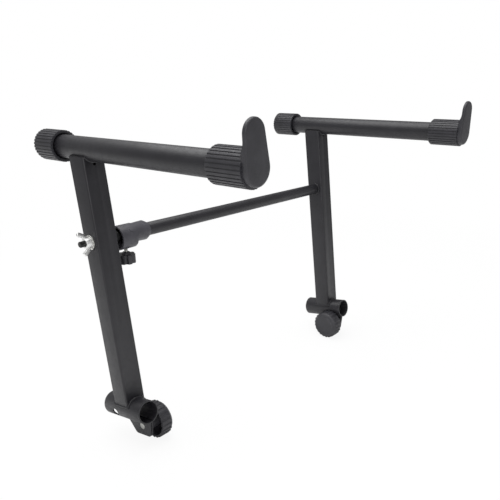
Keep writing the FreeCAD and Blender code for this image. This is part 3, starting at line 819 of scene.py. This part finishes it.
def threadedRod(name, radius, pitch, length, chamfer, place):
    # a V profile swept up a helix, closed at its ends and trimmed to a chamfered blank
    depth, steps = pitch * threadShape["depth"], threadShape["steps"]
    flank, crest = pitch * threadShape["flank"], pitch * threadShape["crest"]
    bpy.ops.object.select_all(action="DESELECT")
    bpy.ops.mesh.primitive_plane_add(size=2 * (radius - depth))
    rod = bpy.context.object
    openEdit(rod)    # one corner is kept and drawn out along the ridge
    pick(rod, "VERT", lambda v: v.co.x < 0 or v.co.y < 0)
    bpy.ops.mesh.delete(type="VERT")
    bpy.ops.mesh.select_all(action="SELECT")
    bpy.ops.transform.translate(value=(0, depth - radius, 0))
    for step in ((depth, 0, flank), (0, 0, crest), (-depth, 0, flank)):
        bpy.ops.mesh.extrude_vertices_move(TRANSFORM_OT_translate={"value": step})
    closeEdit()
    turns = math.ceil(length / pitch) + 3
    useModifier(rod, "SCREW", axis="Z", angle=2 * math.pi, screw_offset=pitch, iterations=turns, steps=steps,
                render_steps=steps, use_merge_vertices=True, merge_threshold=1e-6)
    moveMesh(rod, Matrix.Translation((0, 0, -1.5 * pitch)))
    openEdit(rod)
    for height, outwards in ((0, -1), (length, 1)):
        bpy.ops.mesh.select_all(action="SELECT")
        bpy.ops.mesh.bisect(plane_co=(0, 0, height), plane_no=(0, 0, outwards), use_fill=True,
                            clear_outer=True)
    bpy.ops.mesh.select_all(action="SELECT")
    bpy.ops.mesh.normals_make_consistent(inside=False)
    closeEdit()
    full, drawn = radius + hair, radius - chamfer
    blank = turned("blank", [(-sliver, drawn - sliver), (chamfer, full), (length - chamfer, full),
                             (length + sliver, drawn)], 60, Matrix())
    carve(rod, blank, "INTERSECT")
    selectOnly(rod)
    bpy.ops.object.shade_smooth_by_angle(angle=math.radians(32))
    rod.name = name
    return moveMesh(rod, place)


thumbShape = {"lobes": 7, "lobeDepth": 2.2 * mm, "scoop": 0.62, "height": 12.8 * mm, "hub": 5 * mm,
              "hubFoot": 7.5 * mm, "edge": 0.9 * mm, "hubEdge": 0.5 * mm, "screwRadius": 2.5 * mm,
              "pitch": 0.8 * mm, "screwChamfer": 0.4 * mm}


def makeThumbKnob():
    shape = thumbShape
    low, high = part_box("thumb_knob")
    radius = (high.y - low.y) / 2
    centre = Vector((sum(corner.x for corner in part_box("thumb_screw")) / 2, pivot.y, low.z))
    knob = turned("thumbKnob", [(0, radius), (shape["height"], radius)], 140, pointing("+Z", centre))
    scoop = radius * math.sin(math.pi / shape["lobes"]) * shape["scoop"]
    for i in range(shape["lobes"]):
        turn = 2 * math.pi * (i + 0.5) / shape["lobes"]
        away = radius + scoop - shape["lobeDepth"]
        spot = centre + Vector((away * math.cos(turn), away * math.sin(turn), -spare))
        carve(knob, turned("scoop", [(0, scoop), (0.02, scoop)], 40, pointing("+Z", spot)))
    soften(knob, shape["edge"], segments=4)
    hubStart = low.z + shape["height"] - spare
    hub = turned("hub", [(0, shape["hubFoot"]), (high.z - hubStart, shape["hub"])], 60,
                 pointing("+Z", (centre.x, centre.y, hubStart)))
    soften(hub, shape["hubEdge"], segments=3)
    return weldTogether("thumbKnob", [knob, hub])


def makeThumbScrew():
    shape = thumbShape
    low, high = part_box("thumb_screw")
    place = pointing("+Z", ((low.x + high.x) / 2, pivot.y, low.z))
    return threadedRod("thumbScrew", shape["screwRadius"], shape["pitch"], high.z - low.z,
                       shape["screwChamfer"], place)


settle(makeCollar(), collarPlastic, "right_arm", "knob_plastic", "rod_collar")
settle(makeThumbKnob(), knobPlastic, "thumb_screw", "knob_plastic", "thumb_knob")
settle(makeThumbScrew(), zinc, "thumb_screw", "zinc_plate", "thumb_screw")
print("collar done")


# pivot stud, washer and wing nut

wingShape = {"bore": 4.05 * mm, "hub": 8 * mm, "hubTop": 6.75 * mm, "skirt": 1.2 * mm, "height": 8 * mm,
             "edge": 0.5 * mm, "thick": 3.6 * mm, "turn": 24.5, "root": (4.0 * mm, 2.8 * mm),
             "rootHalf": 3.0 * mm,
             # each step of a wing: where its middle goes, its half width and its slope
             "steps": [((8.4 * mm, 4.2 * mm), 3.6 * mm, 40), ((10.4 * mm, 6.6 * mm), 3.3 * mm, 48),
                       ((12.1 * mm, 9.2 * mm), 3.4 * mm, 56), ((13.2 * mm, 12.0 * mm), 3.5 * mm, 64),
                       ((13.9 * mm, 14.5 * mm), 3.0 * mm, 70)]}


def makeWing():
    # one wing, in the plane of local Y (span) and Z (outwards): a bar drawn out in steps, then rounded
    shape = wingShape
    (y, z), half, thick = shape["root"], shape["rootHalf"], shape["thick"]
    wing = block("wing", (-thick / 2, y - half * 0.5, z - half), (thick / 2, y + half * 0.5, z + half))
    openEdit(wing)
    pick(wing, "FACE", lambda f: f.normal.y > 0.9)
    at, tilt, size = (y + half * 0.5, z), 0, half
    for (y, z), halfNow, angle in shape["steps"]:
        bpy.ops.mesh.extrude_region_move(TRANSFORM_OT_translate={"value": (0, y - at[0], z - at[1])})
        bpy.ops.transform.rotate(value=-math.radians(angle - tilt), orient_axis="X",
                                 center_override=(0, y, z))
        scale = halfNow / size
        bpy.ops.transform.resize(value=(1, scale, scale), center_override=(0, y, z))
        at, tilt, size = (y, z), angle, halfNow
    closeEdit()
    useModifier(wing, "SUBSURF", levels=3, render_levels=3)
    selectOnly(wing)
    bpy.ops.object.shade_smooth()
    return wing


def makeWingNut():
    shape = wingShape
    height, hub, bore = shape["height"], shape["hub"], shape["bore"]
    profile = [(0, bore), (0, hub), (shape["skirt"], hub), (height, shape["hubTop"]), (height, bore)]
    middle = turned("hub", profile, 72, Matrix(), closed=True)
    soften(middle, shape["edge"], segments=3)
    wing = makeWing()
    other = copyOf(wing, "otherWing", Matrix.Rotation(math.pi, 4, "Z"))
    nut = weldTogether("wingNut", [middle, wing, other])
    upright = pointing("-X", (0, 0, 0)) @ Matrix.Rotation(math.radians(90), 4, "Z")
    moveMesh(nut, Matrix.Rotation(math.radians(-shape["turn"]), 4, "X") @ upright)
    return moveMesh(nut, Matrix.Translation((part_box("wing_nut")[1].x, pivot.y, pivot.z)))


studShape = {"radius": 4 * mm, "pitch": 1.25 * mm, "threaded": 40 * mm, "chamfer": 0.8 * mm, "edge": 0.2 * mm,
             "washerBore": 4.2 * mm}


def makeStud():
    shape = studShape
    low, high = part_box("pivot_stud")
    radius, threaded = shape["radius"], shape["threaded"]
    stud = threadedRod("pivotStud", radius, shape["pitch"], threaded, shape["chamfer"], onBar(low.x))
    plain = turned("plain", [(0, radius), (high.x - low.x - threaded, radius)], 60, onBar(low.x + threaded))
    soften(plain, shape["edge"])
    return weldTogether("pivotStud", [stud, plain])


def makeWingWasher():
    low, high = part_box("wing_washer")
    outer, inner, length = (high.z - low.z) / 2, studShape["washerBore"], high.x - low.x
    profile = [(0, inner), (0, outer), (length, outer), (length, inner)]
    return soften(turned("wingWasher", profile, 72, onBar(low.x), closed=True), studShape["edge"])


settle(makeWingNut(), castZinc, "wing_nut", "bright_zinc", "wing_nut")
settle(makeStud(), blackSteel, "cross_tube", "black_oxide", "pivot_stud")
settle(makeWingWasher(), zinc, "wing_washer", "zinc_plate", "wing_washer")

# the small solids that stay as they are
for node, finish in (("left_knob_insert", brass), ("right_knob_insert", brass), ("collar_insert", brass),
                     ("thumb_shoe", nylon), ("friction_washer", nylon)):
    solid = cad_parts[node]
    for holder in solid.material_slots:
        holder.material = finish
print("pivot done")


# floor, light and camera

studio = {"floorColour": 0.93, "floorGlow": 0.9, "floorSize": 12, "floorDrop": 0.3 * mm, "whiteFrom": 0.5,
          "ambient": 0.40, "keyPower": 58, "keyPlace": (0.1, 0.4, 2.3), "keySize": 2.4, "fillPower": 11,
          "fillPlace": (-1.2, -1.8, 1.2), "fillSize": 0.9, "lampsAim": (0.22, -0.05, 0.2)}


def makeFloor():
    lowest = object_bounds()[0].z
    bpy.ops.object.select_all(action="DESELECT")
    bpy.ops.mesh.primitive_plane_add(size=studio["floorSize"],
                                     location=(0.25, 0, lowest - studio["floorDrop"]))
    floor = bpy.context.object
    floor.name = "studioFloor"
    finish, nodes, links, shader = newFinish("paleFloor", (studio["floorColour"],) * 3, 0.9)
    seen = nodes.new("ShaderNodeLightPath")
    glow = nodes.new("ShaderNodeEmission")
    share = nodes.new("ShaderNodeMath")
    share.operation = "MULTIPLY"
    place = nodes.new("ShaderNodeTexCoord")
    away = nodes.new("ShaderNodeVectorMath")
    away.operation = "LENGTH"
    spread = nodes.new("ShaderNodeMapRange")    # the floor turns fully white away from the object
    spread.inputs["From Min"].default_value = studio["whiteFrom"]
    spread.inputs["From Max"].default_value = studio["whiteFrom"] * 3
    spread.inputs["To Min"].default_value = studio["floorGlow"]
    links.new(place.outputs["Object"], away.inputs[0])
    links.new(away.outputs["Value"], spread.inputs["Value"])
    links.new(spread.outputs["Result"], share.inputs[1])
    mix = nodes.new("ShaderNodeMixShader")
    links.new(seen.outputs["Is Camera Ray"], share.inputs[0])
    links.new(share.outputs[0], mix.inputs[0])
    links.new(shader.outputs[0], mix.inputs[1])
    links.new(glow.outputs[0], mix.inputs[2])
    links.new(mix.outputs[0], nodes["Material Output"].inputs["Surface"])
    floor.data.materials.append(finish)


def makeSky():
    world = bpy.data.worlds.new("studioAir")
    bpy.context.scene.world = world
    world.use_nodes = True
    nodes, links = world.node_tree.nodes, world.node_tree.links
    seen = nodes.new("ShaderNodeLightPath")
    either = nodes.new("ShaderNodeMath")
    either.operation = "MAXIMUM"
    strength = nodes.new("ShaderNodeMapRange")
    strength.inputs["To Min"].default_value = studio["ambient"]
    strength.inputs["To Max"].default_value = 1.0
    links.new(seen.outputs["Is Camera Ray"], either.inputs[0])
    links.new(seen.outputs["Is Transmission Ray"], either.inputs[1])
    links.new(either.outputs[0], strength.inputs["Value"])
    nodes["Background"].inputs["Color"].default_value = (1, 1, 1, 1)
    links.new(strength.outputs["Result"], nodes["Background"].inputs["Strength"])


def makeLamp(name, place, power, size):
    bpy.ops.object.light_add(type="AREA", location=place)
    lamp = bpy.context.object
    lamp.name = name
    lamp.data.size = size
    lamp.data.energy = power
    lamp.rotation_euler = (Vector(studio["lampsAim"]) - Vector(place)).to_track_quat("-Z", "Y").to_euler()


cameraShape = {"place": (-410.7 * mm, -604.3 * mm, 443.5 * mm), "heading": 40.381, "tilt": -21.384,
               "roll": -0.238, "lens": 39.99, "shift": (-0.0248, 0.1001)}


def makeCamera():
    shape = cameraShape
    bpy.ops.object.camera_add(location=shape["place"])
    camera = bpy.context.object
    aim = (Matrix.Rotation(math.radians(shape["heading"] - 90), 3, "Z")
           @ Matrix.Rotation(math.radians(90 + shape["tilt"]), 3, "X")
           @ Matrix.Rotation(math.radians(shape["roll"]), 3, "Z"))
    camera.rotation_euler = aim.to_euler()
    camera.data.sensor_width = 36
    camera.data.lens = shape["lens"]
    camera.data.shift_x, camera.data.shift_y = shape["shift"]
    camera.data.clip_start = 0.01
    bpy.context.scene.camera = camera


makeFloor()
makeSky()
makeLamp("keyLamp", studio["keyPlace"], studio["keyPower"], studio["keySize"])
makeLamp("fillLamp", studio["fillPlace"], studio["fillPower"], studio["fillSize"])
makeCamera()
bpy.context.scene.view_settings.view_transform = "Standard"
print("studio ready")
